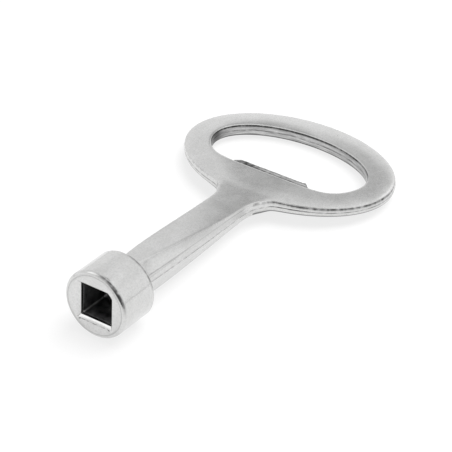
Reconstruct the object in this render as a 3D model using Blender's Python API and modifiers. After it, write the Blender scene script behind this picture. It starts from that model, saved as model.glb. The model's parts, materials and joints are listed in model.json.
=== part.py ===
"""Radiator bleed key, lying on a table.

A cast handle (flat oval bow, tapering shank, collar and square drive tang)
carries a round socket head, and a steel liner with a square bore sits inside
the head. The key leans as it does when it is put down: the lower rear edge of
the head and the far edge of the bow touch z = 0. +X runs from the socket to
the bow, and the key is symmetric about y = 0.
"""

import math

import bmesh
import bpy

# Driving dimensions, in metres. Places along the key ("x") are measured from
# the socket's front face, before the key is leaned over.
LENGTH = 0.0621

SOCKET_SQUARE = 0.0052          # across the flats, for a 5 mm valve spindle
SOCKET_DEPTH = 0.0050
MOUTH_CHAMFER = 0.0004
CORNER_FILLET = 0.0012          # cast web left in one corner of the mouth

HEAD_RADIUS = 0.00522
HEAD_LENGTH = 0.0068
HEAD_FRONT_ROUND = 0.0006
HEAD_REAR_CHAMFER = 0.00015
HEAD_FRONT_WALL = 0.0009
HEAD_SIDE_WALL = 0.0009

BOW_HALF_LENGTH = 0.0128        # along the key
BOW_HALF_WIDTH = 0.0176         # across the key
BOW_THICKNESS = 0.0020
BOW_EDGE_RADIUS = 0.0004

OPENING_FAR_LENGTH = 0.0078     # from the bow's centre, away from the shank
OPENING_NEAR_LENGTH = 0.0085    # and towards it, before the straight side cuts it off
OPENING_HALF_WIDTH = 0.0134
OPENING_CHORD_X = 0.0434        # the opening's straight side, towards the shank
OPENING_CORNER = 0.0012

GATE_HALF_WIDTH = 0.0070        # where the casting's gate was trimmed
GATE_REACH = 0.0011
GATE_TOP = 0.0008
GATE_BOTTOM = -0.0004

SHANK_ROOT_HEIGHT = 0.0070      # the shank's section at the collar
SHANK_ROOT_TOP_WIDTH = 0.0023
SHANK_ROOT_WIDTH = 0.0052
SHANK_WIDTH = 0.0060            # and where it runs into the bow
SHANK_END_TOP_WIDTH = 0.0057
SHANK_BREAK_HEIGHT = 0.0010     # height of the line where side meets bevel
SHANK_END_X = 0.0388
SHANK_STATIONS = 20
TOP_CURVE = 0.75                # below 1, the shank loses its height early
FLAT_CURVE = 2.4                # the higher, the sooner the flat top reaches its full width
WAIST_CURVE = 4
BREAK_CURVE = 4
BREAK_INSET = 0.02              # how far the side leans in at the break, as a share of the width
BREAK_INSET_AT_HEAD = 0.04
NECK_X = 0.0325                 # where the shank starts to widen into the bow
NECK_FLARE = 0.0018             # and how far it has widened at the bow's edge
NECK_CURVE = 2.2

COLLAR_RADIUS = 0.0045
COLLAR_LENGTH = 0.0004
TANG_SQUARE = 0.0046
SPIGOT_SINK = COLLAR_LENGTH / 3     # how far the spigot and the tang run into the collar
TANG_SINK = COLLAR_LENGTH / 4

SHANK_SINK = 0.0001             # the shank ends this far inside the bow's faces
GAP = 0.0003                    # kept between pieces that fit together

ROUND_STEPS = 64
BOW_POINTS = 72
CORNER_STEPS = 4
EDGE_STEPS = 3
MERGE_DISTANCE = 1e-6
SHARP_ANGLE = math.radians(35)  # edges sharper than this are shaded as corners

HALF_THICKNESS = BOW_THICKNESS / 2
BOW_CENTRE_X = LENGTH - BOW_HALF_LENGTH
COLLAR_X = HEAD_LENGTH + GAP
SHANK_START_X = COLLAR_X + COLLAR_LENGTH / 2
COUNTERBORE_RADIUS = HEAD_RADIUS - HEAD_SIDE_WALL
PILOT_RADIUS = SOCKET_SQUARE / 4    # the round hole that the square is cut from
LINER_RADIUS = COUNTERBORE_RADIUS - GAP
LINER_FRONT_X = HEAD_FRONT_WALL + GAP
SPIGOT_X = HEAD_LENGTH - GAP
LINER_REAR_X = SPIGOT_X - GAP

# The key leans on the head's lower rear edge and on the bow's far lower edge.
HEAD_CONTACT_X = HEAD_LENGTH - HEAD_REAR_CHAMFER
BOW_CONTACT_X = LENGTH - BOW_EDGE_RADIUS
TILT = math.atan2(HEAD_RADIUS - HALF_THICKNESS, BOW_CONTACT_X - HEAD_CONTACT_X)


def new_collection(name):
    collection = bpy.data.collections.new(name)
    bpy.context.scene.collection.children.link(collection)
    return collection


def make_material(name, colour, metallic, roughness):
    material = bpy.data.materials.new(name)
    material.use_nodes = True
    shader = material.node_tree.nodes["Principled BSDF"]
    shader.inputs["Base Color"].default_value = (*colour, 1.0)
    shader.inputs["Metallic"].default_value = metallic
    shader.inputs["Roughness"].default_value = roughness
    material.diffuse_color = (*colour, 1.0)
    return material


def add_object(name, mesh, collection, parent):
    item = bpy.data.objects.new(name, mesh)
    collection.objects.link(item)
    item.parent = parent
    return item


def hide_guide(guide):
    guide.hide_render = True
    guide.display_type = "WIRE"


def add_guide(name, mesh, guides, parent):
    """A shape that only cuts or joins another piece."""
    guide = add_object(name, mesh, guides, parent)
    hide_guide(guide)
    return guide


def add_boolean(item, operation, guide):
    modifier = item.modifiers.new(f"{operation.lower()}_{guide.name}", "BOOLEAN")
    modifier.operation = operation
    modifier.solver = "EXACT"
    modifier.object = guide


def mesh_from(name, bm):
    mesh = bpy.data.meshes.new(name)
    bm.to_mesh(mesh)
    bm.free()
    return mesh


def shade_round(item):
    item.data.shade_smooth()
    item.data.set_sharp_from_angle(angle=SHARP_ANGLE)


def box_mesh(name, x, y, z):
    """A box from its (low, high) extents along each axis."""
    bm = bmesh.new()
    bmesh.ops.create_cube(bm, size=1.0)
    extents = (x, y, z)
    for vert in bm.verts:
        vert.co = [(low + high) / 2 + (high - low) * unit for (low, high), unit in zip(extents, vert.co)]
    return mesh_from(name, bm)


def disc_mesh(name, radius, x_front, x_rear):
    """A disc on the key's axis."""
    bm = bmesh.new()
    bmesh.ops.create_cone(bm, cap_ends=True, segments=ROUND_STEPS, radius1=radius, radius2=radius,
                          depth=x_rear - x_front)
    for vert in bm.verts:
        across, up, along = vert.co
        vert.co = ((x_front + x_rear) / 2 + along, across, up)
    return mesh_from(name, bm)


def extruded_outline(name, points, half_height, bevel, collection, parent):
    """A flat closed outline as a solid slab, its upper and lower edges rounded by bevel."""
    curve = bpy.data.curves.new(name, "CURVE")
    curve.dimensions = "2D"
    curve.fill_mode = "BOTH"
    curve.extrude = half_height - bevel
    curve.bevel_depth = bevel
    curve.bevel_resolution = 1
    curve.offset = -bevel
    spline = curve.splines.new("POLY")
    spline.points.add(len(points) - 1)
    for point, (x, y) in zip(spline.points, points):
        point.co = (x, y, 0.0, 1.0)
    spline.use_cyclic_u = True
    outline = bpy.data.objects.new(name, curve)
    collection.objects.link(outline)
    bpy.context.view_layer.update()

    evaluated = outline.evaluated_get(bpy.context.evaluated_depsgraph_get())
    mesh = bpy.data.meshes.new_from_object(evaluated)
    bpy.data.objects.remove(outline)
    bpy.data.curves.remove(curve)
    bm = bmesh.new()
    bm.from_mesh(mesh)
    bmesh.ops.remove_doubles(bm, verts=bm.verts, dist=MERGE_DISTANCE)
    bmesh.ops.recalc_face_normals(bm, faces=bm.faces)
    bm.to_mesh(mesh)
    bm.free()
    mesh.name = name
    return add_object(name, mesh, collection, parent)


def turned_piece(name, profile, collection, parent):
    """A closed profile of (radius, x) points turned about the key's axis."""
    bm = bmesh.new()
    verts = [bm.verts.new((radius, 0.0, -x)) for radius, x in profile]
    for start, end in zip(verts, verts[1:] + verts[:1]):
        bm.edges.new((start, end))
    item = add_object(name, mesh_from(name, bm), collection, parent)
    item.rotation_euler = (0.0, -math.pi / 2, 0.0)
    screw = item.modifiers.new("turn", "SCREW")
    screw.axis = "Z"
    screw.steps = screw.render_steps = ROUND_STEPS
    screw.use_merge_vertices = True
    screw.merge_threshold = MERGE_DISTANCE
    screw.use_smooth_shade = False
    return item


def ellipse_points(centre_x, half_length, half_width, count):
    points = []
    for step in range(count):
        angle = 2 * math.pi * step / count
        points.append((centre_x + half_length * math.cos(angle), half_width * math.sin(angle)))
    return points


def opening_points():
    """The bow's opening: an oval cut off by a straight side, with rounded corners."""
    corner = math.acos((OPENING_CHORD_X - BOW_CENTRE_X) / OPENING_NEAR_LENGTH)
    corner_y = OPENING_HALF_WIDTH * math.sin(corner)
    arc_end = corner - OPENING_CORNER / OPENING_NEAR_LENGTH
    arc = []
    for step in range(BOW_POINTS // 2 + 1):
        angle = arc_end * (4 * step / BOW_POINTS - 1)
        length = OPENING_FAR_LENGTH if math.cos(angle) > 0 else OPENING_NEAR_LENGTH
        arc.append((BOW_CENTRE_X + length * math.cos(angle), OPENING_HALF_WIDTH * math.sin(angle)))
    # Each corner is a quadratic curve from the oval's end to the straight side.
    end_x, end_y = arc[-1]
    rounded = []
    for step in range(1, CORNER_STEPS + 1):
        t = step / CORNER_STEPS
        x = OPENING_CHORD_X + (1 - t) ** 2 * (end_x - OPENING_CHORD_X)
        y = (1 - t) ** 2 * end_y + 2 * t * (1 - t) * corner_y + t ** 2 * (corner_y - OPENING_CORNER)
        rounded.append((x, y))
    mirrored = [(x, -y) for x, y in reversed(rounded)]
    return arc + rounded + mirrored


def shank_section(x):
    """The upper +Y quarter of the shank's section at x, from the top's edge to the side."""
    along = (x - SHANK_START_X) / (SHANK_END_X - SHANK_START_X)
    left = 1 - along
    end_height = HALF_THICKNESS - SHANK_SINK
    fall = (1 + math.cos(math.pi * along ** TOP_CURVE)) / 2
    top = end_height + (SHANK_ROOT_HEIGHT / 2 - end_height) * fall
    side = SHANK_WIDTH / 2 - (SHANK_WIDTH - SHANK_ROOT_WIDTH) / 2 * left ** WAIST_CURVE
    flat = SHANK_END_TOP_WIDTH / 2 - (SHANK_END_TOP_WIDTH - SHANK_ROOT_TOP_WIDTH) / 2 * left ** FLAT_CURVE
    end_break = end_height - BOW_EDGE_RADIUS
    break_height = end_break + (SHANK_BREAK_HEIGHT - end_break) * (1 - along ** BREAK_CURVE)
    break_side = side - SHANK_WIDTH * (BREAK_INSET + BREAK_INSET_AT_HEAD * left)
    bow_edge_x = BOW_CENTRE_X - BOW_HALF_LENGTH
    flare = NECK_FLARE * max(0.0, (min(x, bow_edge_x) - NECK_X) / (bow_edge_x - NECK_X)) ** NECK_CURVE
    return [(min(flat, break_side) + flare, top), (break_side + flare, break_height), (side + flare, 0.0)]


def shank_mesh():
    """A loft through sections that change from a tall oval to the bow's flat slab."""
    bm = bmesh.new()
    rings = []
    for station in range(SHANK_STATIONS):
        x = SHANK_START_X + (SHANK_END_X - SHANK_START_X) * station / (SHANK_STATIONS - 1)
        quarter = shank_section(x)
        right = quarter + [(y, -z) for y, z in reversed(quarter[:-1])]
        loop = right + [(-y, z) for y, z in reversed(right)]
        rings.append([bm.verts.new((x, y, z)) for y, z in loop])
    for ring, following in zip(rings, rings[1:]):
        count = len(ring)
        for index in range(count):
            after = (index + 1) % count
            bm.faces.new((ring[index], ring[after], following[after], following[index]))
    bm.faces.new(rings[0])
    bm.faces.new(rings[-1])
    bmesh.ops.recalc_face_normals(bm, faces=bm.faces)
    return mesh_from("shank_loft", bm)


def make_handle(parts, guides, parent):
    """Bow, shank, collar, spigot and tang: one casting."""
    outline = ellipse_points(BOW_CENTRE_X, BOW_HALF_LENGTH, BOW_HALF_WIDTH, BOW_POINTS)
    handle = extruded_outline("handle_casting", outline, HALF_THICKNESS, BOW_EDGE_RADIUS, parts, parent)

    shank = add_guide("shank_loft", shank_mesh(), guides, parent)
    collar = add_guide("collar", disc_mesh("collar", COLLAR_RADIUS, COLLAR_X, COLLAR_X + COLLAR_LENGTH),
                       guides, parent)
    spigot = add_guide("spigot", disc_mesh("spigot", LINER_RADIUS, SPIGOT_X, COLLAR_X + SPIGOT_SINK),
                       guides, parent)
    half_tang = TANG_SQUARE / 2
    tang_box = box_mesh("tang", (SOCKET_DEPTH, COLLAR_X + TANG_SINK), (-half_tang, half_tang),
                        (-half_tang, half_tang))
    tang = add_guide("tang", tang_box, guides, parent)
    for joined in (shank, collar, spigot, tang):
        add_boolean(handle, "UNION", joined)

    opening = extruded_outline("bow_opening", opening_points(), 3 * BOW_THICKNESS, 0.0, guides, parent)
    hide_guide(opening)
    add_boolean(handle, "DIFFERENCE", opening)

    gate_box = box_mesh("gate_land", (OPENING_CHORD_X - GATE_REACH, OPENING_CHORD_X + GATE_REACH),
                        (-GATE_HALF_WIDTH, GATE_HALF_WIDTH), (GATE_BOTTOM, GATE_TOP))
    gate = add_guide("gate_land", gate_box, guides, parent)
    add_boolean(handle, "UNION", gate)
    handle.data.materials.append(make_material("plated_zinc", (0.78, 0.78, 0.77), 1.0, 0.28))
    return handle


def socket_cutter(name, guides, parent, with_mouth):
    """The square bore, with the cast web in one corner where the head needs it."""
    half = SOCKET_SQUARE / 2
    bore = box_mesh(name, (-HEAD_LENGTH, 2 * HEAD_LENGTH), (-half, half), (-half, half))
    if not with_mouth:
        return add_guide(name, bore, guides, parent)
    bm = bmesh.new()
    bm.from_mesh(bore)
    upright = [edge for edge in bm.edges if all(v.co.y < 0 < v.co.z for v in edge.verts)]
    bmesh.ops.bevel(bm, geom=upright, offset=CORNER_FILLET, segments=EDGE_STEPS, affect="EDGES", profile=0.5)
    bm.to_mesh(bore)
    bm.free()
    return add_guide(name, bore, guides, parent)


def mouth_cutter(guides, parent):
    """A shallow square pyramid that chamfers the socket's mouth."""
    bm = bmesh.new()
    inner = SOCKET_SQUARE / 2
    wide = inner + 2 * MOUTH_CHAMFER
    for x, half in ((MOUTH_CHAMFER, inner), (-MOUTH_CHAMFER, wide)):
        for y, z in ((-half, -half), (half, -half), (half, half), (-half, half)):
            bm.verts.new((x, y, z))
    bmesh.ops.convex_hull(bm, input=bm.verts)
    bmesh.ops.recalc_face_normals(bm, faces=bm.faces)
    return add_guide("socket_mouth", mesh_from("socket_mouth", bm), guides, parent)


def make_head(parts, guides, parent):
    """The round head: a cup open at the rear, with the square mouth in its front wall."""
    front = []
    for step in range(EDGE_STEPS + 1):
        angle = math.pi / 2 * step / EDGE_STEPS
        radius = HEAD_RADIUS - HEAD_FRONT_ROUND * (1 - math.sin(angle))
        front.append((radius, HEAD_FRONT_ROUND * (1 - math.cos(angle))))
    profile = front + [
        (HEAD_RADIUS, HEAD_LENGTH - HEAD_REAR_CHAMFER),
        (HEAD_RADIUS - HEAD_REAR_CHAMFER, HEAD_LENGTH),
        (COUNTERBORE_RADIUS, HEAD_LENGTH),
        (COUNTERBORE_RADIUS, HEAD_FRONT_WALL),
        (PILOT_RADIUS, HEAD_FRONT_WALL),
        (PILOT_RADIUS, 0.0),
    ]
    head = turned_piece("socket_head", profile, parts, parent)
    add_boolean(head, "DIFFERENCE", socket_cutter("socket_square", guides, parent, with_mouth=True))
    add_boolean(head, "DIFFERENCE", mouth_cutter(guides, parent))
    head.data.materials.append(make_material("plated_head", (0.82, 0.82, 0.81), 1.0, 0.22))
    return head


def make_liner(parts, guides, parent):
    """The hardened liner that turns the valve, gripped by the head and the tang."""
    profile = [
        (LINER_RADIUS, LINER_FRONT_X),
        (LINER_RADIUS, LINER_REAR_X),
        (PILOT_RADIUS, LINER_REAR_X),
        (PILOT_RADIUS, LINER_FRONT_X),
    ]
    liner = turned_piece("socket_liner", profile, parts, parent)
    add_boolean(liner, "DIFFERENCE", socket_cutter("liner_square", guides, parent, with_mouth=False))
    liner.data.materials.append(make_material("dark_steel", (0.05, 0.05, 0.052), 0.9, 0.45))
    return liner


def main():
    for item in list(bpy.data.objects):
        bpy.data.objects.remove(item, do_unlink=True)
    parts = new_collection("radiator_bleed_key")
    guides = new_collection("guides")

    rest = bpy.data.objects.new("rest_tilt", None)
    parts.objects.link(rest)
    front_x = -(HEAD_RADIUS - HEAD_FRONT_ROUND) * math.sin(TILT)
    far_x = LENGTH * math.cos(TILT)
    height = HEAD_CONTACT_X * math.sin(TILT) + HEAD_RADIUS * math.cos(TILT)
    rest.location = (-(front_x + far_x) / 2, 0.0, height)
    rest.rotation_euler = (0.0, TILT, 0.0)

    for make_piece in (make_handle, make_head, make_liner):
        shade_round(make_piece(parts, guides, rest))


main()
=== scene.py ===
"""Looks for the radiator bleed key: a bright-plated casting lying on a white table.

The pieces are modelled in the key's own frame, which the record's socket_face
mount gives: x from the socket's front face towards the bow, y across, z up
from the casting's middle plane. Lengths are in metres.
"""

import json
import math

import bmesh
import bpy
from mathutils import Matrix, Vector, noise


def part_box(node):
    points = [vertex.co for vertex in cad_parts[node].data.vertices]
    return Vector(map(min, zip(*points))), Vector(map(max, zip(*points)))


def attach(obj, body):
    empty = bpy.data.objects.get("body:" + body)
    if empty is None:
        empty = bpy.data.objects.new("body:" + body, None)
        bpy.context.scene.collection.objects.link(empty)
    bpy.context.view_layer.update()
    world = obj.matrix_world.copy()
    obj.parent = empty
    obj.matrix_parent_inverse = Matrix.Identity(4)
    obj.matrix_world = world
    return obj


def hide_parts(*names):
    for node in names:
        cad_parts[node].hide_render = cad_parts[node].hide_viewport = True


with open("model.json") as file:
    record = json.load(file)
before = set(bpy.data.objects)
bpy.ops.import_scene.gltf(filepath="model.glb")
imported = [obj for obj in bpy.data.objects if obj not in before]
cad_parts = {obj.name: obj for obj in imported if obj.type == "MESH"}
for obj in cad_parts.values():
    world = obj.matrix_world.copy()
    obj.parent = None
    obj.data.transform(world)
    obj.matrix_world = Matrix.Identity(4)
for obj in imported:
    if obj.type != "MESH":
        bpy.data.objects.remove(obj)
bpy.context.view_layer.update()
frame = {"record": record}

# ---------------------------------------------------------------- dimensions
handle_low, handle_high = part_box("handle_casting")
head_low, head_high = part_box("socket_head")
liner_low, liner_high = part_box("socket_liner")
socket_face = next(mount for mount in frame["record"]["mounts"] if mount["name"] == "socket_face")

TILT = math.atan2(socket_face["axis"][2], -socket_face["axis"][0])
FACE_POINT = Vector(socket_face["pos_m"])
KEY = Matrix.Translation((FACE_POINT.x, 0.0, FACE_POINT.z)) @ Matrix.Rotation(TILT, 4, "Y")

LENGTH = 0.0621
HEAD_RADIUS = (head_high.y - head_low.y) / 2
HEAD_LENGTH = 0.0068
HEAD_FRONT_ROUND = 0.0006
HEAD_REAR_CHAMFER = 0.00015
HEAD_FRONT_WALL = 0.0009
HEAD_SIDE_WALL = 0.0009
SOCKET_HALF = 0.0026
SOCKET_DEPTH = 0.0050
MOUTH_CHAMFER = 0.0004
CORNER_CUT = 0.00052              # how far the cast web fills one corner of the mouth
BORE_SHARPNESS = 90               # the higher, the tighter the square's corners
MOUTH_SHARPNESS = 60
LINER_RADIUS = (liner_high.y - liner_low.y) / 2

BOW_HALF_LENGTH = 0.0128
BOW_HALF_WIDTH = (handle_high.y - handle_low.y) / 2
BOW_X = LENGTH - BOW_HALF_LENGTH
HALF_THICKNESS = 0.0010
OPENING_FAR = 0.0078
OPENING_NEAR = 0.0085
OPENING_HALF_WIDTH = 0.0134
OPENING_CHORD = 0.0059            # from the bow's centre to the opening's straight side
OPENING_BLEND = 14                # how tightly the oval turns into the straight side

NECK_HALF_WIDTH = 0.0049          # where the shank's sides meet the bow's outline
SHANK_START_X = 0.0073
SHANK_END_X = 0.0388
SHANK_STATIONS = (                # its sections, from the bow to the collar
    0.0362, 0.0352, 0.0340, 0.0325, 0.0305, 0.0280, 0.0250, 0.0220, 0.0190, 0.0160, 0.0130, 0.0108, 0.0092,
    0.0083,
)
FILLET_X = 0.0078                 # where the shank swells out into the collar
FILLET_SECTION_X = 0.0079         # the shank's section that it swells from
FILLET_GROWTH = (1.12, 1.10)      # how much, across and in height
SHANK_ROOT_HEIGHT = 0.0070
SHANK_ROOT_TOP_WIDTH = 0.0023
SHANK_ROOT_WIDTH = 0.0052
SHANK_WIDTH = 0.0060
SHANK_END_TOP_WIDTH = 0.0057
SHANK_BREAK_HEIGHT = 0.0010
SHANK_BREAK_AT_BOW = 0.0005
TOP_CURVE = 0.75                  # below 1, the shank loses its height early
FLAT_CURVE = 2.4                  # the higher, the sooner the flat top reaches its full width
WAIST_CURVE = 4
BREAK_CURVE = 4
BREAK_INSET = 0.02                # how far the side leans in at the break, as a share of the width
BREAK_INSET_AT_HEAD = 0.04
NECK_X = 0.0325
NECK_FLARE = 0.0018
NECK_CURVE = 2.2
COLLAR_RADIUS = 0.0045
COLLAR_X = 0.0071
COLLAR_LENGTH = 0.0004
SPIGOT_X = 0.0065
TANG_HALF = 0.0023

PARTING_BAND = 0.00012            # half height of the line where the mould halves met
PARTING_RIDGE = 0.00008           # and how far it stands out
LINE_WIDTH = 0.00008              # width of the thin painted lines along ridges, breaks and edges: dark dashes, painted shade, shadow, dark reflection and highlight lines
DASH_SIZE = 0.0007                # about how long its dashes are on the parting ridge
UNEVEN_SIZE = 0.0035              # and the darker stretches of the lines on the bow's edges
CHATTER_SIZE = 0.0004             # and the fine breaks in those lines
BREAK_SHADE = 0.30                 # how dark the painted shade line is along the shank's side break
COLLAR_SHADOW = 0.95                # and the painted shadow on the collar, in the narrow gap behind the head
SHADE_X = 0.0200                  # a soft shade along the flat top's edges, strongest here
SHADE_REACH = 0.0080
SHADE_DEPTH = 0.22
SHADE_SPREAD = 4.0
REFLECTION_LINE_CENTRE = Vector((0.0430, -0.0120, 0.0))   # the stretch of outer edge where the painted dark reflection line shows
REFLECTION_LINE_REACH = 0.0115
REFLECTION_LINE_HEIGHT = 0.00082              # height of the painted dark reflection line, above the middle plane
EDGE_LINE_FALL = 1.2                    # how much of the crown's fall the outer edge's lines follow
REFLECTION_LINE_SPREAD_IN = 2.3               # how many line widths the painted dark reflection line spreads, in the opening and outside
REFLECTION_LINE_SPREAD_OUT = 2.9
FOOT_HEIGHT_IN = 0.00080          # the painted shade line along the lower edge, below the middle plane
FOOT_HEIGHT_OUT = 0.00088
FOOT_SPREAD = 1.8
FOOT_SHADE = 0.85
DARK_END = Vector((BOW_X - 0.0014, 0.0130, 0.0))   # the opening's +Y end, where its wall is darker
DARK_END_REACH = 0.0026
DARK_END_STRENGTH = 0.95
POLISH_WAVE = (0.006, 0.000010)   # size and height of the unevenness that polishing leaves
CAST_WAVE = (0.0013, 0.000030)    # and of the cast wall in the opening

HEAD_DARK_ARCS = (                    # painted dark arcs around the head, a dark reflection on the front rounding and a shadow at the rear rim: place along the axis, middle around it from -Y upwards in radians, half length, and spread in line widths
    (0.00027, 0.85, 0.66, 1.9),   # from -Y upwards in radians, half length, and spread in line widths
    (0.00660, 0.80, 0.55, 1.6),
)
FACE_LINE_DARKNESS = 0.35                  # how dark the line around the front face is
MOUTH_LINE_DARKNESS = 0.85                 # how dark the broken line under the mouth is, and the size of its dashes
MOUTH_FLECK = 0.0003
REAR_SHADOW = 0.9                   # painted shadow on the rim of the rear face, in the corner with the collar
HEAD_WAVE = (0.0035, 0.000009)    # size and height of the head's unevenness
HEAD_INSET = 0.000008             # so that its high spots stay about at the turned size

BOW_CROWN = 0.00021               # how far the bow's top falls towards its outer edge
CROWN_START = 0.55                # radians from the neck where the crown takes over
CROWN_ROWS = ((0.0030, 0.0), (0.0022, 0.16), (0.0014, 0.45))   # inset from the edge, and share of the fall
OUTER_EDGE = (                    # the rounded edge: inset, drop, and share of the crown's fall
    (0.00055, 0.0, 0.85),
    (0.00016, 0.00004, 1.1),
    (0.00002, 0.00018, 1.3),
)
INNER_EDGE = ((0.00050, 0.0), (0.00015, 0.00003), (0.00002, 0.00017))   # the opening's: inset and drop
WALL_TOP = 0.00038                # half height of the flat wall between the rounded edges

GATE_SIDES = (-0.0070, 0.0064)    # from where to where, across the key, the gate was trimmed off
GATE_REACH = 0.00095
GATE_ROOT = 0.0004                # how far the land goes into the casting
GATE_TOP = 0.0008
GATE_BOTTOM = -0.0004
GATE_TAPER = (0.0009, 0.0007)     # length and depth of its sloping ends
GATE_NIB = (0.0003, 0.0011, 0.00014)   # where a nib starts and ends past the first side, and its reach
GATE_STEPS = (8, 60, 6)           # cuts along x, y and z
GATE_WAVE = (0.0011, 0.00003)     # size and height of the unevenness of its broken edge
GATE_GRAIN = (0.0005, 0.00003)    # and of its faces
GATE_FLECK = 0.0006               # size of the flecks that break up its dark lines
GATE_LINES = ((0.14, 1.00), (0.97, 0.85))   # dark lines along it: share of its reach, and strength; the first is a painted shadow at the step
GATE_LINE_SPREAD = 0.13
GATE_DARK_END = (0.0040, 0.0021)      # its darker end: middle and reach across the key
GATE_DARK_END_STRENGTH = 0.75

NECK_STEPS = 4                    # of the bow's columns, those that the shank joins
BOW_STEPS = 40                    # and the rest
ROUND_COLUMNS = 28                # around the shank and collar
TOP_EDGE_COLUMN = 2               # of a quarter of them, the flat top's edge
BREAK_COLUMN = 4                  # and the line where the side meets the bevel
RIDGE_CREASE = 0.6                # how sharp the parting ridge stays when the cage is smoothed
TURNED_CREASE = 0.9               # and the edges of collar, spigot and tang
SHANK_CREASES = ((TOP_EDGE_COLUMN, 0.4), (BREAK_COLUMN, 0.7), (ROUND_COLUMNS // 4, RIDGE_CREASE))
WALL_ROWS = 11                    # of a bow column, from its top edge to its bottom edge
HEAD_STEPS = 224
SMOOTH_LEVELS = 3
FLUSH = 0.00002                   # what lies this close to a face counts as on it
BEND = 0.00003                    # how far a turned corner's surface bends
MOUTH_BEND = 0.00002
REAR_BEND = 0.00004
EDGE_BREAK = 0.00005              # the chamfer on a hidden edge


# ---------------------------------------------------------------- number tools
def clamped(value, most=1.0):
    return max(0.0, min(most, value))


def fading(distance, reach, power=2):
    """1 at no distance and near 0 well past the reach; a higher power falls more sharply."""
    return math.exp(-((abs(distance) / reach) ** power))


def patchy(mean, swing, x, y, layer):
    """A number that wanders about its mean over a plane; each layer is a pattern of its own."""
    return mean + swing * noise.noise(Vector((x, y, layer)))


def line_across(distance):
    """How strongly a thin line shows at this distance from its middle."""
    return fading(distance, LINE_WIDTH)


# ---------------------------------------------------------------- mesh tools
def spline_shrink(steps):
    """How much a closed cage of this many steps draws in when it is subdivided."""
    return (2 + math.cos(2 * math.pi / steps)) / 3


def mesh_from(name, bm):
    bmesh.ops.recalc_face_normals(bm, faces=bm.faces)
    mesh = bpy.data.meshes.new(name)
    bm.to_mesh(mesh)
    bm.free()
    return mesh


def subdivided(mesh, levels):
    """The mesh that a cage gives under Subdivision Surface."""
    cage = bpy.data.objects.new(mesh.name + "_cage", mesh)
    bpy.context.scene.collection.objects.link(cage)
    modifier = cage.modifiers.new("smooth", "SUBSURF")
    modifier.levels = modifier.render_levels = levels
    modifier.use_limit_surface = False
    bpy.context.view_layer.update()
    evaluated = cage.evaluated_get(bpy.context.evaluated_depsgraph_get())
    smooth = bpy.data.meshes.new_from_object(evaluated)
    smooth.name = mesh.name
    bpy.data.objects.remove(cage)
    bpy.data.meshes.remove(mesh)
    return smooth


def add_piece(name, mesh, materials):
    """Places a mesh made in the key's frame, as a piece that rides on the key."""
    piece = bpy.data.objects.new(name, mesh)
    bpy.context.scene.collection.objects.link(piece)
    mesh.materials.clear()
    for material in materials:
        mesh.materials.append(material)
    mesh.transform(KEY)
    mesh.shade_smooth()
    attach(piece, "root")
    return piece


def loft(bm, rings, closed_along=False):
    """Joins closed rings of the same count into a tube, and gives the faces by ring."""
    bands = []
    pairs = list(zip(rings, rings[1:]))
    if closed_along:
        pairs.append((rings[-1], rings[0]))
    for ring, following in pairs:
        band = []
        for index in range(len(ring)):
            after = (index + 1) % len(ring)
            band.append(bm.faces.new((ring[index], ring[after], following[after], following[index])))
        bands.append(band)
    return bands


def set_crease(bm, vert_a, vert_b, value):
    """Keeps the edge between two vertices sharp; 1 is fully sharp."""
    layer = bm.edges.layers.float.get("crease_edge") or bm.edges.layers.float.new("crease_edge")
    edge = bm.edges.get((vert_a, vert_b))
    if edge is not None:
        edge[layer] = value


# ---------------------------------------------------------------- the handle
def bow_angles():
    """The angles of the bow's columns: across the neck, from one shank edge to the other, then around."""
    neck = math.asin(NECK_HALF_WIDTH / BOW_HALF_WIDTH)
    rest = 2 * (math.pi - neck)
    across = [math.pi + neck * (2 * step / NECK_STEPS - 1) for step in range(NECK_STEPS + 1)]
    around = [math.pi + neck + rest * step / BOW_STEPS for step in range(1, BOW_STEPS)]
    return across + around


def outer_point(angle):
    """The bow's outline, a little larger because the cage draws in when it is subdivided."""
    grow = 1 / spline_shrink(NECK_STEPS + BOW_STEPS)
    return Vector((BOW_X + grow * BOW_HALF_LENGTH * math.cos(angle), grow * BOW_HALF_WIDTH * math.sin(angle)))


def opening_point(angle):
    """The opening's outline: an oval whose shank side a straight line cuts off."""
    length = OPENING_FAR if math.cos(angle) > 0 else OPENING_NEAR
    chord = max(0.0, -length * math.cos(angle) / OPENING_CHORD)
    scale = (1 + chord ** OPENING_BLEND) ** (-1 / OPENING_BLEND)
    return Vector((BOW_X + scale * length * math.cos(angle), scale * OPENING_HALF_WIDTH * math.sin(angle)))


def away(outline, angle):
    """The outline's outward normal."""
    step = 0.01
    along = outline(angle + step) - outline(angle - step)
    return Vector((along.y, -along.x)).normalized()


def crown_at(angle):
    """How far the top falls at the outer edge, at this angle."""
    return BOW_CROWN * (1 - fading(angle - math.pi, CROWN_START))


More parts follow.
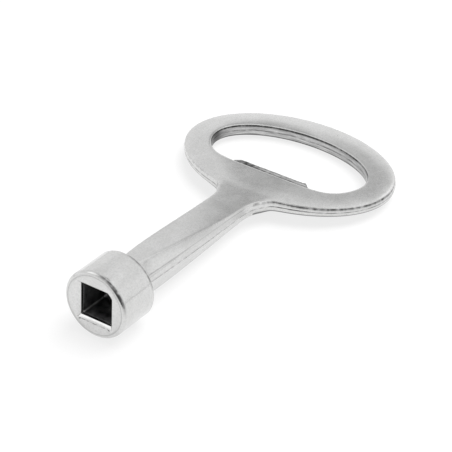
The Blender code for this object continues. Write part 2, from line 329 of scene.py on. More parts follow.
def bow_column(angle):
    """The bow's section at one angle: outer wall, underside, inner wall, top."""
    outer, inner = outer_point(angle), opening_point(angle)
    out_normal, in_normal = away(outer_point, angle), away(opening_point, angle)
    ridge = PARTING_RIDGE * (0.4 + abs(patchy(0.0, 1.0, 9 * math.cos(angle), 9 * math.sin(angle), 0.3)))
    half = HALF_THICKNESS
    crown = crown_at(angle)
    wall = [(0.0, WALL_TOP), (0.0, PARTING_BAND)]
    outer_rows = [(inset, half - drop - share * crown) for inset, drop, share in OUTER_EDGE] + wall
    inner_rows = [(inset, half - drop) for inset, drop in INNER_EDGE] + wall
    upper_outer = [(outer - out_normal * inset, height) for inset, height in outer_rows]
    upper_inner = [(inner + in_normal * inset, height) for inset, height in inner_rows]
    lower_outer = [(point, -height) for point, height in reversed(upper_outer)]
    lower_inner = [(point, -height) for point, height in reversed(upper_inner)]
    section = upper_outer + [(outer + out_normal * ridge, 0.0)] + lower_outer
    under_start, under_end = lower_outer[-1][0], lower_inner[-1][0]
    section.append((under_start.lerp(under_end, 0.5), -half))
    section += list(reversed(lower_inner)) + [(inner - in_normal * ridge, 0.0)] + list(reversed(upper_inner))
    for inset, share in CROWN_ROWS:
        section.append((outer - out_normal * inset, half - share * crown))
    return [(point.x, point.y, height) for point, height in section]


def shank_quarter(x):
    """The upper +Y quarter of the shank's section at x, from the top's middle to the side."""
    along = (x - SHANK_START_X) / (SHANK_END_X - SHANK_START_X)
    left = 1 - along
    fall = (1 + math.cos(math.pi * along ** TOP_CURVE)) / 2
    top = HALF_THICKNESS + (SHANK_ROOT_HEIGHT / 2 - HALF_THICKNESS) * fall
    side = SHANK_WIDTH / 2 - (SHANK_WIDTH - SHANK_ROOT_WIDTH) / 2 * left ** WAIST_CURVE
    flat = SHANK_END_TOP_WIDTH / 2 - (SHANK_END_TOP_WIDTH - SHANK_ROOT_TOP_WIDTH) / 2 * left ** FLAT_CURVE
    break_height = SHANK_BREAK_AT_BOW + (SHANK_BREAK_HEIGHT - SHANK_BREAK_AT_BOW) * (1 - along ** BREAK_CURVE)
    break_side = side - SHANK_WIDTH * (BREAK_INSET + BREAK_INSET_AT_HEAD * left)
    bow_edge_x = BOW_X - BOW_HALF_LENGTH
    flare = NECK_FLARE * max(0.0, (x - NECK_X) / (bow_edge_x - NECK_X)) ** NECK_CURVE
    flat = min(flat, break_side) + flare
    break_side += flare
    side += flare
    bevel = ((flat + break_side) / 2, (top + break_height) / 2)
    under = (side - (side - break_side) / 3, (break_height + PARTING_BAND) / 2)
    return [(0.0, top), (flat / 2, top), (flat, top), bevel, (break_side, break_height), under,
            (side, PARTING_BAND), (side + PARTING_RIDGE, 0.0)]


def circle_quarter(radius):
    """A round section's upper +Y quarter, with as many points as the shank's."""
    quarter = ROUND_COLUMNS // 4
    grown = radius / spline_shrink(ROUND_COLUMNS)
    turns = [math.pi / 2 * step / quarter for step in range(quarter + 1)]
    return [(grown * math.sin(turn), grown * math.cos(turn)) for turn in turns]


def square_quarter(half):
    """A square section's quarter, with points close to its corner to keep it sharp."""
    return [(0.0, half), (half * 0.45, half), (half * 0.9, half), (half, half), (half, half * 0.9),
            (half, half * 0.6), (half, half * 0.3), (half, 0.0)]


def whole_section(quarter):
    """Mirrors a quarter into the closed section."""
    right = quarter + [(y, -z) for y, z in reversed(quarter[:-1])]
    return right + [(-y, z) for y, z in reversed(right[1:-1])]


def section_ring(bm, x, quarter):
    """The closed ring of a section at x."""
    return [bm.verts.new((x, y, z)) for y, z in whole_section(quarter)]


def mirrored_columns(column):
    """A column of the quarter and its mirror images in the whole section."""
    half = ROUND_COLUMNS // 2
    return column, half - column, half + column, (ROUND_COLUMNS - column) % ROUND_COLUMNS


def handle_cage():
    """Bow, shank, collar, spigot and tang as one quad cage."""
    bm = bmesh.new()
    columns = [[bm.verts.new(point) for point in bow_column(angle)] for angle in bow_angles()]
    rows = len(columns[0])
    open_rows = WALL_ROWS - 1         # the outer wall's faces, left out where the shank comes in
    for index, column in enumerate(columns):
        following = columns[(index + 1) % len(columns)]
        for row in range(rows):
            if index < NECK_STEPS and row < open_rows:
                continue
            below = (row + 1) % rows
            bm.faces.new((column[row], following[row], following[below], column[below]))
    middle = NECK_STEPS // 2
    right = [columns[index][0] for index in range(middle, -1, -1)]
    right += [columns[0][row] for row in range(1, open_rows)]
    right += [columns[index][open_rows] for index in range(middle + 1)]
    left = [columns[index][open_rows] for index in range(middle + 1, NECK_STEPS + 1)]
    left += [columns[NECK_STEPS][row] for row in range(open_rows - 1, 0, -1)]
    left += [columns[index][0] for index in range(NECK_STEPS, middle, -1)]
    boundary = right + left

    shank_rings = [section_ring(bm, x, shank_quarter(x)) for x in SHANK_STATIONS]
    wider, higher = FILLET_GROWTH
    fillet = [(y * wider, z * higher) for y, z in shank_quarter(FILLET_SECTION_X)]
    collar_rear = COLLAR_X + COLLAR_LENGTH
    end_rings = [
        section_ring(bm, FILLET_X, fillet),
        section_ring(bm, collar_rear, circle_quarter(COLLAR_RADIUS)),
        section_ring(bm, COLLAR_X, circle_quarter(COLLAR_RADIUS)),
        section_ring(bm, COLLAR_X, circle_quarter(LINER_RADIUS)),
        section_ring(bm, SPIGOT_X, circle_quarter(LINER_RADIUS)),
        section_ring(bm, SPIGOT_X, square_quarter(TANG_HALF)),
        section_ring(bm, SOCKET_DEPTH, square_quarter(TANG_HALF)),
        section_ring(bm, SOCKET_DEPTH, square_quarter(TANG_HALF * 0.6)),
    ]
    # The bow's boundary runs from the top's middle towards +Y first, as the shank's rings do.
    loft(bm, [boundary] + shank_rings + end_rings)
    bm.faces.new(end_rings[-1])

    for ring, following in zip(shank_rings, shank_rings[1:]):
        for quarter_column, value in SHANK_CREASES:
            for column in mirrored_columns(quarter_column):
                set_crease(bm, ring[column], following[column], value)
    outer_ridge = WALL_ROWS // 2
    inner_ridge = WALL_ROWS + 1 + WALL_ROWS // 2
    for index, column in enumerate(columns):
        following = columns[(index + 1) % len(columns)]
        for row in (outer_ridge, inner_ridge):
            set_crease(bm, column[row], following[row], RIDGE_CREASE)
    for ring in end_rings[1:-1]:
        for index, vert in enumerate(ring):
            set_crease(bm, vert, ring[(index + 1) % len(ring)], TURNED_CREASE)
    loose = [vert for vert in bm.verts if not vert.link_faces]
    bmesh.ops.delete(bm, geom=loose, context="VERTS")
    return mesh_from("handle_casting_shape", bm)


def dark_lines(co, normal):
    """Dark dashes along the parting ridge, painted shade along the shank's side break and flat top's edges,
    and painted shadow on the collar.
    """
    steep = clamped(1 - abs(normal.z) / 0.9)
    dashes = clamped(patchy(0.75, 1.5, co.x / DASH_SIZE, co.y / DASH_SIZE, 7.3))
    amount = dashes * steep * line_across(co.z)
    if SHANK_START_X < co.x < NECK_X and co.z > 0:
        quarter = shank_quarter(co.x)
        along_break = BREAK_SHADE * line_across(co.z - quarter[BREAK_COLUMN][1])
        from_edge = abs(co.y) - quarter[TOP_EDGE_COLUMN][0]
        shade = SHADE_DEPTH * fading(co.x - SHADE_X, SHADE_REACH)
        amount = max(amount, along_break, shade * line_across(from_edge / SHADE_SPREAD))
    # painted shadow in the gap between the head and the collar
    if HEAD_LENGTH < co.x < COLLAR_X + COLLAR_LENGTH / 2:
        amount = COLLAR_SHADOW
    return amount


def edge_lines(co, normal, in_opening):
    """The painted dark reflection line under the bow's top edge, the painted shade line along its lower edge
    and the opening's darker end.
    """
    steep = clamped((0.93 - abs(normal.z)) / 0.3)
    uneven = patchy(0.9, 0.8, co.x / UNEVEN_SIZE, co.y / UNEVEN_SIZE, 2.1)
    chatter = patchy(0.0, 0.6, co.x / CHATTER_SIZE, co.y / CHATTER_SIZE, 5.2)
    if in_opening:
        fallen, reflection_spread, foot_height = 0.0, REFLECTION_LINE_SPREAD_IN, FOOT_HEIGHT_IN
        end_darkening = DARK_END_STRENGTH * fading((co - DARK_END).xy.length, DARK_END_REACH, 4)
    else:
        fallen = EDGE_LINE_FALL * crown_at(math.atan2(co.y, co.x - BOW_X) % (2 * math.pi))
        reflection_spread, foot_height, end_darkening = REFLECTION_LINE_SPREAD_OUT, FOOT_HEIGHT_OUT, 0.0
        uneven *= fading((co - REFLECTION_LINE_CENTRE).xy.length, REFLECTION_LINE_REACH, 4)
    # painted dark reflection line under the top edge
    reflection_line = (uneven + chatter) * line_across((co.z - REFLECTION_LINE_HEIGHT + fallen) / reflection_spread)
    # painted shade line along the lower edge
    foot = FOOT_SHADE * line_across((co.z + foot_height - fallen) / FOOT_SPREAD)
    return min(1.0, max(steep * reflection_line, foot, steep * end_darkening, 0.0))


def roughen_casting(mesh):
    """The dark lines, partly painted shade, and the unevenness that polishing leaves, more in the opening it
    doesn't reach.
    """
    wide, low = POLISH_WAVE
    narrow, high = CAST_WAVE
    unpolished = mesh.attributes.new("unpolished", "FLOAT", "POINT")
    dirt_and_painted_shade = mesh.attributes.new("dirt_and_painted_shade", "FLOAT", "POINT")
    normals = [vert.normal.copy() for vert in mesh.vertices]
    for vert, normal in zip(mesh.vertices, normals):
        co = vert.co.copy()
        line_darkness = dark_lines(co, normal)
        shift = low * noise.noise(co / wide)
        from_centre = Vector((co.x - BOW_X, co.y))
        in_opening = co.x > BOW_X - OPENING_NEAR and normal.xy.dot(from_centre) < 0
        if co.x > NECK_X + NECK_FLARE:
            line_darkness = max(line_darkness, edge_lines(co, normal, in_opening))
        # dark dashes on the parting ridge, and painted shade, shadow and dark reflection lines
        dirt_and_painted_shade.data[vert.index].value = line_darkness
        if in_opening:
            wall = clamped((0.75 - abs(normal.z)) / 0.3)
            along = Vector((co.x / narrow, co.y / narrow, co.z / (0.35 * narrow)))
            shift += wall * high * noise.noise(along)
            unpolished.data[vert.index].value = wall
        vert.co = co + normal * shift
    mesh.update()


def make_handle(plated):
    mesh = subdivided(handle_cage(), SMOOTH_LEVELS)
    roughen_casting(mesh)
    handle = add_piece("handle", mesh, [plated])
    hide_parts("handle_casting")
    return handle


def gate_darkening(across, y):
    """How dark the land is at this share of its reach and this place across the key."""
    uneven = patchy(1.0, 0.9, y / GATE_FLECK, across, 8.8)
    darkest = GATE_DARK_END_STRENGTH * fading(y - GATE_DARK_END[0], GATE_DARK_END[1], 4)
    for place, strength in GATE_LINES:
        darkest = max(darkest, strength * fading(across - place, GATE_LINE_SPREAD))
    return clamped(uneven * darkest)


def make_gate(rough):
    """The land left where the casting's gate was broken off and filed."""
    bm = bmesh.new()
    dirt_and_painted_shade = bm.verts.layers.float.new("dirt_and_painted_shade")
    chord_x = BOW_X - OPENING_CHORD
    taper_length, taper_depth = GATE_TAPER
    nib_start, nib_end, nib_reach = GATE_NIB
    wave_size, wave_height = GATE_WAVE
    grain_size, grain_height = GATE_GRAIN
    bmesh.ops.create_cube(bm, size=1.0)
    for axis in (1, 0, 2):
        edges = [edge for edge in bm.edges if abs(edge.verts[0].co[axis] - edge.verts[1].co[axis]) > 0.5]
        bmesh.ops.subdivide_edges(bm, edges=edges, cuts=GATE_STEPS[axis], use_grid_fill=True)
    for vert in bm.verts:
        x = chord_x + (vert.co.x + 0.5) * (GATE_REACH + GATE_ROOT) - GATE_ROOT
        y = GATE_SIDES[0] + (vert.co.y + 0.5) * (GATE_SIDES[1] - GATE_SIDES[0])
        z = GATE_BOTTOM + (vert.co.z + 0.5) * (GATE_TOP - GATE_BOTTOM)
        nib = nib_reach if nib_start < y - GATE_SIDES[0] < nib_end else 0.0
        end = clamped(1 - min(y - GATE_SIDES[0], GATE_SIDES[1] - y) / taper_length)
        if vert.co.x > 0:
            x += nib - taper_depth * end + patchy(0.0, wave_height, y / wave_size, 0.0, 1.7)
        place = Vector((x, y, z))
        lift = grain_height * noise.noise(place / grain_size)
        vert.co = place + Vector((0.4 * lift, 0.0, lift))
        # flecks, dark lines with a painted shadow at the step, and a darker end
        vert[dirt_and_painted_shade] = gate_darkening((x - chord_x) / GATE_REACH, y)
    mesh = mesh_from("gate_land_shape", bm)
    return add_piece("gate_land", mesh, [rough])


# ---------------------------------------------------------------- the socket
def socket_radius(angle, half, cut, sharpness):
    """The square bore's outline as a radius; one corner is cut by the cast web."""
    across, up = math.cos(angle), math.sin(angle)
    corner = (up - across) / math.sqrt(2)
    reach = half * math.sqrt(2) - cut
    sides = (across / half, -across / half, up / half, -up / half, corner / reach)
    return sum(max(0.0, side) ** sharpness for side in sides) ** (-1 / sharpness)


def socket_angles(steps):
    """Angles around the axis, packed closer at the square's corners."""
    packing = 0.2
    turns = [2 * math.pi * step / steps for step in range(steps)]
    return [turn + packing * math.sin(4 * turn) for turn in turns]


def polar_ring(bm, angles, radii, x):
    """A ring around the key's axis, with its own radius at each angle."""
    ring = []
    for angle, radius in zip(angles, radii):
        ring.append(bm.verts.new((x, radius * math.cos(angle), radius * math.sin(angle))))
    return ring


def make_head(plated, dark):
    """The cup-shaped head, turned outside and square inside its mouth."""
    bm = bmesh.new()
    angles = socket_angles(HEAD_STEPS)
    bore = [socket_radius(angle, SOCKET_HALF, CORNER_CUT, BORE_SHARPNESS) for angle in angles]
    mouth_half = SOCKET_HALF + MOUTH_CHAMFER
    mouth = [socket_radius(angle, mouth_half, CORNER_CUT, MOUTH_SHARPNESS) for angle in angles]
    face_radius = HEAD_RADIUS - HEAD_FRONT_ROUND
    counterbore = HEAD_RADIUS - HEAD_SIDE_WALL

    def circle(radius, x):
        return polar_ring(bm, angles, [radius] * len(angles), x)

    def between(share):
        radii = [inner + (face_radius - inner) * share for inner in mouth]
        return polar_ring(bm, angles, radii, 0.0)

    rings = [
        polar_ring(bm, angles, bore, HEAD_FRONT_WALL),
        polar_ring(bm, angles, bore, HEAD_FRONT_WALL * 0.75),
        polar_ring(bm, angles, bore, MOUTH_CHAMFER + BEND),
        polar_ring(bm, angles, [radius + MOUTH_BEND for radius in bore], MOUTH_CHAMFER),
        polar_ring(bm, angles, [radius - BEND for radius in mouth], BEND),
        polar_ring(bm, angles, [radius + MOUTH_BEND for radius in mouth], 0.0),
        between(0.12), between(0.5), between(0.92),
    ]
    front_steps = 10
    for step in range(front_steps + 1):
        turn = math.pi / 2 * step / front_steps
        rings.append(circle(face_radius + HEAD_FRONT_ROUND * math.sin(turn),
                            HEAD_FRONT_ROUND * (1 - math.cos(turn))))
    side_steps = 16
    side_end = HEAD_LENGTH - HEAD_REAR_CHAMFER
    side_length = side_end - HEAD_FRONT_ROUND
    for step in range(1, side_steps + 1):
        rings.append(circle(HEAD_RADIUS, HEAD_FRONT_ROUND + side_length * step / side_steps))
    rings += [
        circle(HEAD_RADIUS - BEND, side_end + REAR_BEND),
        circle(HEAD_RADIUS - HEAD_REAR_CHAMFER + REAR_BEND, HEAD_LENGTH - BEND),
        circle(HEAD_RADIUS - HEAD_REAR_CHAMFER, HEAD_LENGTH),
        circle(counterbore + EDGE_BREAK, HEAD_LENGTH),
        circle(counterbore, HEAD_LENGTH - EDGE_BREAK),
        circle(counterbore, HEAD_FRONT_WALL + EDGE_BREAK),
        circle(counterbore - EDGE_BREAK, HEAD_FRONT_WALL),
    ]
    bands = loft(bm, rings, closed_along=True)
    # The bore behind the mouth's chamfer and the counterbore are dark.
    for band in (bands[0], bands[1], bands[-1], bands[-2], bands[-3]):
        for face in band:
            face.material_index = 1
    mesh = mesh_from("socket_head_shape", bm)
    shape_head(mesh)
    head = add_piece("head", mesh, [plated, dark])
    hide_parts("socket_head")
    return head


def painted_arc(co, place, middle, reach, spread):
    """How dark a broken painted dark arc around the head is here."""
    turned = math.atan2(co.z, -co.y) - middle
    broken = clamped(patchy(1.0, 0.9, 9 * turned, 0.0, 6.4))
    strength = fading(turned, reach, 4) * broken
    return strength * line_across((co.x - place) / spread)


def shape_head(mesh):
    """The soft unevenness of a tumbled casting, its painted shadow in the corner with the collar, its painted
    dark arcs, and the dark lines around its face and mouth.
    """
    wave_size, wave_height = HEAD_WAVE
    dirt_and_painted_shade = mesh.attributes.new("dirt_and_painted_shade", "FLOAT", "POINT")
    for vert in mesh.vertices:
        co = vert.co
        radius = math.hypot(co.y, co.z)
        if co.x < FLUSH:
            amount = FACE_LINE_DARKNESS * line_across(radius - HEAD_RADIUS + HEAD_FRONT_ROUND)
            if abs(co.z + SOCKET_HALF + MOUTH_CHAMFER) < LINE_WIDTH and abs(co.y) < SOCKET_HALF:
                amount = clamped(patchy(MOUTH_LINE_DARKNESS, 1.5, co.y / MOUTH_FLECK, 0.0, 3.3), 0.95)
            dirt_and_painted_shade.data[vert.index].value = amount
        if radius < HEAD_RADIUS - HEAD_FRONT_ROUND:
            continue
        if co.x > HEAD_LENGTH - FLUSH:
            dirt_and_painted_shade.data[vert.index].value = REAR_SHADOW
        elif co.x > FLUSH:
            dirt_and_painted_shade.data[vert.index].value = max(painted_arc(co, *mark) for mark in HEAD_DARK_ARCS)
        outward = Vector((0.0, co.y, co.z)) / radius
        vert.co = co + outward * (wave_height * noise.noise(co / wave_size) - HEAD_INSET)
    mesh.update()


def mark_corner_highlights(mesh):
    """Paints a highlight along the bore's corners, brighter than its sides."""
    corner_highlight = mesh.attributes.new("corner_highlight", "FLOAT", "POINT")
    corner_radius = SOCKET_HALF * math.sqrt(2)
    for vert in mesh.vertices:
        radius = math.hypot(vert.co.y, vert.co.z)
        if radius < corner_radius + 0.0001:
            corner_highlight.data[vert.index].value = line_across(max(0.0, corner_radius - radius) / 1.5)


def make_liner(dark):
    """The hardened square-bored liner inside the head."""
    bm = bmesh.new()
    angles = socket_angles(HEAD_STEPS // 2)
    bore = [socket_radius(angle, SOCKET_HALF, 0.0, BORE_SHARPNESS) for angle in angles]
    front = HEAD_FRONT_WALL + EDGE_BREAK
    rear = SPIGOT_X - EDGE_BREAK
    inner = [(0.0, front + EDGE_BREAK), (0.0, (front + rear) / 2), (0.0, rear - EDGE_BREAK),
             (EDGE_BREAK, rear)]
    outer = [(LINER_RADIUS - EDGE_BREAK, rear), (LINER_RADIUS, rear - EDGE_BREAK),
             (LINER_RADIUS, front + EDGE_BREAK), (LINER_RADIUS - EDGE_BREAK, front)]
    rings = [polar_ring(bm, angles, [radius + grow for radius in bore], x) for grow, x in inner]
    rings += [polar_ring(bm, angles, [radius] * len(angles), x) for radius, x in outer]
    rings.append(polar_ring(bm, angles, [radius + EDGE_BREAK for radius in bore], front))
    loft(bm, rings, closed_along=True)
    mesh = mesh_from("socket_liner_shape", bm)
    mark_corner_highlights(mesh)
    liner = add_piece("liner", mesh, [dark])
    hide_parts("socket_liner")
    return liner


# ---------------------------------------------------------------- materials
def grey(level):
    return level, level, level


# near-black for dirt in pits and for the painted shade, shadow and dark reflection lines
DIRT_AND_SHADE_COLOUR = grey(0.05)
GRAIN_COLOUR = grey(0.38)


class Nodes:
    """A material's node tree, built by short calls."""

    def __init__(self, name):
        self.material = bpy.data.materials.new(name)
        self.material.use_nodes = True
        self.tree = self.material.node_tree
        self.shader = self.tree.nodes["Principled BSDF"]
        self.place = self.add("ShaderNodeTexCoord").outputs["Object"]

    def add(self, kind, **values):
        node = self.tree.nodes.new(kind)
        for key, value in values.items():
            setattr(node, key, value)
        return node

    def link(self, source, target):
        self.tree.links.new(source, target)

    def attribute(self, name):
        """A number that the mesh holds at each vertex."""
        return self.add("ShaderNodeAttribute", attribute_name=name).outputs["Fac"]

    def stretched(self, scale):
        """The position, scaled along each axis."""
        mapping = self.add("ShaderNodeMapping")
        mapping.inputs["Scale"].default_value = scale
        self.link(self.place, mapping.inputs["Vector"])
        return mapping.outputs["Vector"]

    def noise(self, size, detail=2.0, roughness=0.5, vector=None):
        """Noise whose features are about this many metres across."""
        node = self.add("ShaderNodeTexNoise")
        node.inputs["Scale"].default_value = 1 / size
        node.inputs["Detail"].default_value = detail
        node.inputs["Roughness"].default_value = roughness
        self.link(vector or self.place, node.inputs["Vector"])
        return node.outputs["Fac"]

    def ranged(self, value, low_in, high_in, low_out, high_out, interpolation="LINEAR"):
        node = self.add("ShaderNodeMapRange", interpolation_type=interpolation)
        for key, number in (("From Min", low_in), ("From Max", high_in), ("To Min", low_out),
                            ("To Max", high_out)):
            node.inputs[key].default_value = number
        self.link(value, node.inputs["Value"])
        return node.outputs["Result"]

    def math(self, operation, first, second):
        node = self.add("ShaderNodeMath", operation=operation)
        for socket, value in zip(node.inputs, (first, second)):
            if isinstance(value, float):
                socket.default_value = value
            else:
                self.link(value, socket)
        return node.outputs["Value"]

    def bump(self, height, depth, below=None):
        """Adds relief of this depth in metres on top of the relief below."""
        node = self.add("ShaderNodeBump")
        node.inputs["Distance"].default_value = depth
        self.link(height, node.inputs["Height"])
        if below is not None:
            self.link(below, node.inputs["Normal"])
        return node.outputs["Normal"]

    def mixed(self, factor, first, second):
        """A colour between two, each a colour or another node's output."""
        node = self.add("ShaderNodeMix", data_type="RGBA")
        self.link(factor, node.inputs["Factor"])
        for socket, value in ((node.inputs["A"], first), (node.inputs["B"], second)):
            if isinstance(value, tuple):
                socket.default_value = (*value, 1.0)
            else:
                self.link(value, socket)
        return node.outputs["Result"]

    def wire(self, colour, metallic, roughness, normal):
        self.link(colour, self.shader.inputs["Base Color"])
        self.shader.inputs["Metallic"].default_value = metallic
        self.link(roughness, self.shader.inputs["Roughness"])
        self.link(normal, self.shader.inputs["Normal"])
        return self.material


def plated_metal(name, dark, light, smooth, dull, waviness, cast_wall=False):
    """Bright plating over a polished casting: soft waves, orange peel, fine scratches and a few pits."""
    nodes = Nodes(name)
    patches = nodes.noise(0.0032, detail=3.0)
    haze = nodes.noise(0.0007, detail=4.0, roughness=0.6)
    scratches = nodes.noise(0.0009, detail=2.0, vector=nodes.stretched((1.0, 14.0, 14.0)))
    cells = nodes.add("ShaderNodeTexVoronoi")
    cells.inputs["Scale"].default_value = 1 / 0.0021
    nodes.link(nodes.place, cells.inputs["Vector"])
    pits = nodes.ranged(cells.outputs["Distance"], 0.0, 0.055, 1.0, 0.0)
    pits = nodes.math("MULTIPLY", pits, nodes.math("GREATER_THAN", cells.outputs["Color"], 0.72))

    blend = nodes.math("ADD", nodes.math("MULTIPLY", patches, 0.6), nodes.math("MULTIPLY", haze, 0.4))
    colour = nodes.mixed(nodes.ranged(blend, 0.35, 0.65, 0.0, 1.0), dark, light)
    roughness = nodes.ranged(blend, 0.35, 0.65, smooth, dull)
    dirt_and_painted_shade = nodes.attribute("dirt_and_painted_shade")
    if cast_wall:
        wall = nodes.attribute("unpolished")
        layers = nodes.noise(0.0028, detail=3.0, vector=nodes.stretched((1.0, 1.0, 11.0)))
        layers = nodes.ranged(layers, 0.35, 0.65, 0.0, 1.0)
        wall_tone = nodes.mixed(layers, grey(0.30), (0.60, 0.60, 0.598))
        colour = nodes.mixed(wall, colour, wall_tone)
        roughness = nodes.math("ADD", roughness, nodes.math("MULTIPLY", wall, 0.14))
    grain = nodes.ranged(nodes.noise(0.00024, detail=2.0), 0.35, 0.58, 0.20, 0.0)
    colour = nodes.mixed(grain, colour, GRAIN_COLOUR)
    colour = nodes.mixed(nodes.math("MULTIPLY", pits, 0.7), colour, DIRT_AND_SHADE_COLOUR)
    # the mesh's dark lines: dashes on the parting ridge, and painted shade, shadow and dark reflection lines
    colour = nodes.mixed(dirt_and_painted_shade, colour, DIRT_AND_SHADE_COLOUR)
    orange_peel = nodes.noise(0.00016, detail=2.0)
    unpitted = nodes.math("SUBTRACT", 1.0, pits)
    normal = nodes.bump(nodes.noise(0.0045, detail=1.0), waviness)
    for relief, depth in ((haze, 1.2e-6), (orange_peel, 0.5e-6), (scratches, 0.9e-6), (unpitted, 10e-6)):
        normal = nodes.bump(relief, depth, normal)
    return nodes.wire(colour, 1.0, roughness, normal)


def blackened_steel(name):
    """The liner's hardened steel, with broaching marks along the bore."""
    nodes = Nodes(name)
    marks = nodes.noise(0.0012, detail=3.0, vector=nodes.stretched((0.5, 9.0, 9.0)))
    patches = nodes.noise(0.0010, detail=3.0)
    blend = nodes.ranged(patches, 0.3, 0.7, 0.0, 1.0)
    colour = nodes.mixed(blend, (0.060, 0.060, 0.062), (0.16, 0.16, 0.164))
    corner_highlight = nodes.attribute("corner_highlight")
    # painted highlight along the bore's corners
    colour = nodes.mixed(corner_highlight, colour, grey(0.60))
    roughness = nodes.ranged(patches, 0.3, 0.7, 0.30, 0.50)
    normal = nodes.bump(marks, 0.000004)
    return nodes.wire(colour, 0.9, roughness, normal)


def broken_metal(name):
    """The grey, grainy land where the gate was trimmed."""
    nodes = Nodes(name)
    grain = nodes.noise(0.00035, detail=5.0, roughness=0.7)
    streaks = nodes.noise(0.0008, detail=3.0, vector=nodes.stretched((6.0, 1.0, 6.0)))
    colour = nodes.mixed(nodes.ranged(streaks, 0.3, 0.7, 0.0, 1.0), grey(0.24), (0.52, 0.52, 0.518))
    dirt_and_painted_shade = nodes.attribute("dirt_and_painted_shade")
    # the land's darkening, with a painted shadow line at the step
    colour = nodes.mixed(dirt_and_painted_shade, colour, DIRT_AND_SHADE_COLOUR)
    roughness = nodes.ranged(grain, 0.3, 0.7, 0.38, 0.62)
    normal = nodes.bump(grain, 0.00003)
    return nodes.wire(colour, 1.0, roughness, normal)


# ---------------------------------------------------------------- studio
CAMERA_TARGET = Vector((-0.00155, -0.00184, 0.00249))
CAMERA_DISTANCE = 0.2822
CAMERA_AZIMUTH = math.radians(-55.7)
CAMERA_ELEVATION = math.radians(35.8)
CAMERA_LENS = 152.4

LAMP_AZIMUTH = math.radians(60)
LAMP_ELEVATION = math.radians(64)
WORLD_LEVELS = (                  # cosine of the angle from the lamp, and brightness
    (0.0, 0.7), (0.3, 0.6), (0.6, 0.6), (0.88, 1.0), (0.95, 7.0), (1.0, 7.0),
)
FLOOR_HALF = 20.0                 # metres, so that its edge is never seen near the key
FLOOR_ALBEDO = 0.20
FLOOR_GLOW = 0.74                 # the table is white acrylic lit from below, so shadows stay faint
TENT_RADIUS = 0.080
TENT_LEVEL = 0.89
TENT_PATCHES = (                  # azimuth, elevation, inner and outer radius in degrees, brightness
    (0.0, -90.0, 98.0, 114.0, 1.05),     # the cloth near the table
    (20.0, 12.0, 18.0, 40.0, 1.03),      # the lamp at the front
    (150.0, 18.0, 10.0, 22.0, 0.97),     # the lamp behind
    (75.0, 24.0, 8.0, 14.0, 1.16),       # the lamp at the right
    (75.0, 79.0, 5.0, 12.0, 0.15),       # the opening at the top
    (-128.0, 42.0, 8.0, 18.0, 1.5),      # the lamp over the camera's shoulder
    (-30.0, 30.0, 6.0, 20.0, 1.5),       # the lamp beside the camera
    (-72.0, 11.0, 6.0, 26.0, 0.10),      # the opening for the camera
    (100.0, 26.0, 3.0, 12.0, 0.61),      # two folds in the cloth
    (115.5, 23.5, 3.6, 7.4, 0.52),
    (0.0, -90.0, 91.2, 93.0, 0.60),      # the seam where the cloth meets the table
)


def direction(azimuth, elevation):
    """A unit vector; azimuth 0 is towards -Y and 90 degrees towards +X."""
    flat = math.cos(elevation)
    return Vector((math.sin(azimuth) * flat, -math.cos(azimuth) * flat, math.sin(elevation)))


def make_camera():
    data = bpy.data.cameras.new("camera")
    data.lens = CAMERA_LENS
    data.sensor_width = 36.0
    data.clip_start = 0.01
    camera = bpy.data.objects.new("camera", data)
    bpy.context.scene.collection.objects.link(camera)
    back = direction(CAMERA_AZIMUTH, CAMERA_ELEVATION)
    camera.location = CAMERA_TARGET + back * CAMERA_DISTANCE
    camera.rotation_mode = "QUATERNION"
    camera.rotation_quaternion = (-back).to_track_quat("-Z", "Y")
    bpy.context.scene.camera = camera


def make_floor():
    bm = bmesh.new()
    bmesh.ops.create_grid(bm, x_segments=1, y_segments=1, size=FLOOR_HALF)
    mesh = mesh_from("floor_shape", bm)
    floor = bpy.data.objects.new("floor", mesh)
    bpy.context.scene.collection.objects.link(floor)
    material = bpy.data.materials.new("white_table")
    material.use_nodes = True
    shader = material.node_tree.nodes["Principled BSDF"]
    shader.inputs["Base Color"].default_value = (*grey(FLOOR_ALBEDO), 1.0)
    shader.inputs["Roughness"].default_value = 0.9
    shader.inputs["Specular IOR Level"].default_value = 0.0
    shader.inputs["Emission Color"].default_value = (*grey(1.0), 1.0)
    shader.inputs["Emission Strength"].default_value = FLOOR_GLOW
    mesh.materials.append(material)


def make_world():
    """White light, strongest from a wide lamp overhead, which lights the floor and the backdrop."""
    world = bpy.data.worlds.new("studio")
    bpy.context.scene.world = world
    world.use_nodes = True
    tree = world.node_tree
    place = tree.nodes.new("ShaderNodeTexCoord")
    towards = tree.nodes.new("ShaderNodeVectorMath")
    towards.operation = "DOT_PRODUCT"
    towards.inputs[1].default_value = direction(LAMP_AZIMUTH, LAMP_ELEVATION)
    ramp = tree.nodes.new("ShaderNodeValToRGB")
    tree.links.new(place.outputs["Generated"], towards.inputs[0])
    tree.links.new(towards.outputs["Value"], ramp.inputs["Fac"])
    elements = ramp.color_ramp.elements
    while len(elements) < len(WORLD_LEVELS):
        elements.new(0.5)
    for element, (facing, level) in zip(elements, WORLD_LEVELS):
        element.position = facing
        element.color = (*grey(level), 1.0)
    background = tree.nodes["Background"]
    tree.links.new(ramp.outputs["Color"], background.inputs["Color"])


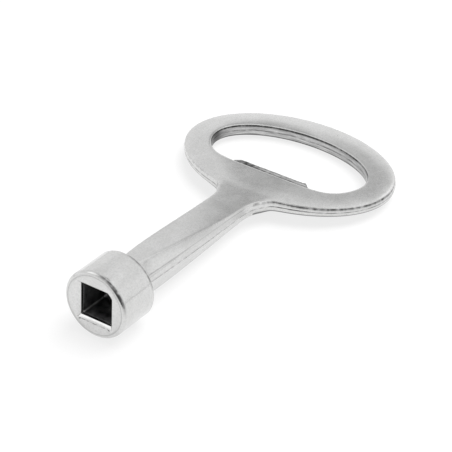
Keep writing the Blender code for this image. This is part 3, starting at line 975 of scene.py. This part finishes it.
def make_tent():
    """A small light tent that only the metal's reflections see, with panels and darker gaps."""
    bm = bmesh.new()
    bmesh.ops.create_uvsphere(bm, u_segments=64, v_segments=32, radius=TENT_RADIUS)
    below = [vert for vert in bm.verts if vert.co.z < -0.0001]
    bmesh.ops.delete(bm, geom=below, context="VERTS")
    mesh = bpy.data.meshes.new("tent_shape")
    bm.to_mesh(mesh)
    bm.free()
    tent = bpy.data.objects.new("light_tent", mesh)
    bpy.context.scene.collection.objects.link(tent)
    tent.visible_camera = False
    tent.visible_diffuse = False
    tent.visible_shadow = False
    tent.visible_transmission = False

    nodes = Nodes("tent_cloth")
    tree = nodes.tree
    tree.nodes.remove(nodes.shader)
    inward = nodes.add("ShaderNodeVectorMath", operation="NORMALIZE")
    nodes.link(nodes.place, inward.inputs[0])
    level = nodes.add("ShaderNodeValue").outputs[0]
    level.default_value = TENT_LEVEL
    for azimuth, elevation, inner, outer, patch_level in TENT_PATCHES:
        facing = nodes.add("ShaderNodeVectorMath", operation="DOT_PRODUCT")
        nodes.link(inward.outputs["Vector"], facing.inputs[0])
        facing.inputs[1].default_value = direction(math.radians(azimuth), math.radians(elevation))
        weight = nodes.ranged(facing.outputs["Value"], math.cos(math.radians(outer)),
                              math.cos(math.radians(inner)), 0.0, 1.0, "SMOOTHSTEP")
        mix = nodes.add("ShaderNodeMix", data_type="FLOAT")
        nodes.link(weight, mix.inputs["Factor"])
        nodes.link(level, mix.inputs["A"])
        mix.inputs["B"].default_value = patch_level
        level = mix.outputs["Result"]
    emission = nodes.add("ShaderNodeEmission")
    nodes.link(level, emission.inputs["Strength"])
    nodes.link(emission.outputs["Emission"], tree.nodes["Material Output"].inputs["Surface"])
    mesh.materials.append(nodes.material)


# ---------------------------------------------------------------- assembly
bright = plated_metal("plated_zinc", dark=(0.625, 0.625, 0.62), light=(0.695, 0.695, 0.692),
                      smooth=0.13, dull=0.19, waviness=0.000004, cast_wall=True)
head_plating = plated_metal("plated_head", dark=(0.635, 0.635, 0.63), light=(0.695, 0.695, 0.692),
                            smooth=0.13, dull=0.18, waviness=0.000003)
dark_steel = blackened_steel("dark_steel")
gate_metal = broken_metal("trimmed_gate")

make_handle(bright)
make_gate(gate_metal)
make_head(head_plating, dark_steel)
make_liner(dark_steel)

make_floor()
make_world()
make_tent()
make_camera()
bpy.context.scene.view_settings.view_transform = "Standard"
